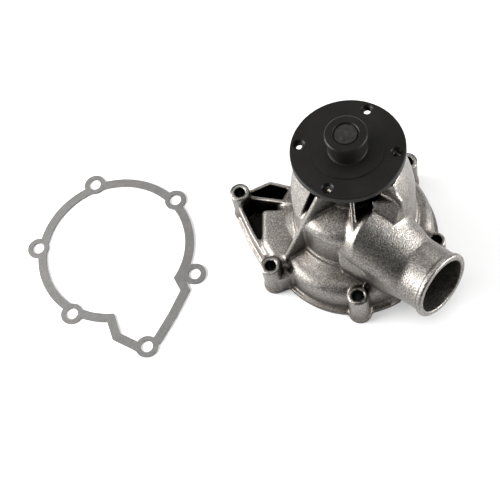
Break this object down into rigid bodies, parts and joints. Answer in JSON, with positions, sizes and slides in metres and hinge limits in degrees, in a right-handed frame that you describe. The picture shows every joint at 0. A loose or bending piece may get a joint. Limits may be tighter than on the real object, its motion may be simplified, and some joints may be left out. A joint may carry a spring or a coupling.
{
  "type": "water pump",
  "caption": "Engine coolant pump: cast housing with hose neck and screw lugs, bearing shaft with hub flange and nose, impeller inside, paper gasket beside it.",
  "frame": {"origin": "On the plane of the mounting face, under the middle of the whole object with its gasket; the pump's shaft axis stands at x = 83.94 mm, y = 31.88 mm", "axes": "+Z along the shaft towards the hub nose; +X to the right and +Y away from the viewer as the part is pictured; the hose neck points towards +X and -Y"},
  "size_m": [0.33, 0.1784, 0.1375],
  "materials": {
    "cast_housing": "shot-blasted casting",
    "black_steel": "black oxide, satin",
    "shaft_steel": "ground, end face left dark",
    "bearing_steel": "ground and polished",
    "cage_plastic": "natural nylon",
    "seal_rubber": "moulded rubber",
    "seal_metal": "pressed stainless sheet",
    "seal_brass": "pressed brass cup",
    "spring_steel": "drawn stainless wire",
    "carbon": "lapped carbon",
    "ceramic_white": "lapped ceramic",
    "impeller_iron": "sand cast, machined bore",
    "gasket_paper": "fibre gasket paper"
  },
  "bodies": {
    "pump": {"housing": "cast_housing", "bearing_outer_ring": "bearing_steel", "bearing_seal_front": "seal_rubber", "bearing_seal_rear": "seal_rubber", "seal_cup": "seal_brass", "seal_bellows": "seal_rubber", "seal_spring": "spring_steel", "seal_carrier": "seal_metal", "carbon_ring": "carbon"},
    "rotor": {"pump_shaft": "shaft_steel", "hub_flange": "black_steel", "slinger": "seal_metal", "counter_ring": "ceramic_white", "counter_ring_boot": "seal_rubber", "impeller_insert": "bearing_steel", "impeller": "impeller_iron"},
    "ball_set": {"bearing_balls": "bearing_steel", "ball_cage": "cage_plastic"},
    "roller_set": {"bearing_rollers": "bearing_steel", "roller_cage": "cage_plastic"},
    "gasket": {"mounting_gasket": "gasket_paper"}
  },
  "joints": [
    {"name": "shaft_spin", "type": "hinge", "parent": "pump", "child": "rotor", "pos_m": [0.08394, 0.03188, 0.08], "axis": [0, 0, 1], "continuous": true},
    {"name": "ball_set_spin", "type": "hinge", "parent": "pump", "child": "ball_set", "pos_m": [0.08394, 0.03188, 0.094], "axis": [0, 0, 1], "continuous": true},
    {"name": "roller_set_spin", "type": "hinge", "parent": "pump", "child": "roller_set", "pos_m": [0.08394, 0.03188, 0.074], "axis": [0, 0, 1], "continuous": true},
    {"name": "gasket_lift", "type": "slide", "parent": "pump", "child": "gasket", "axis": [0, 0, 1], "range_m": [0, 0.05]}
  ],
  "couplings": [
    {"joint": "ball_set_spin", "follows": "shaft_spin", "ratio": 0.3594},
    {"joint": "roller_set_spin", "follows": "shaft_spin", "ratio": 0.3816}
  ]
}
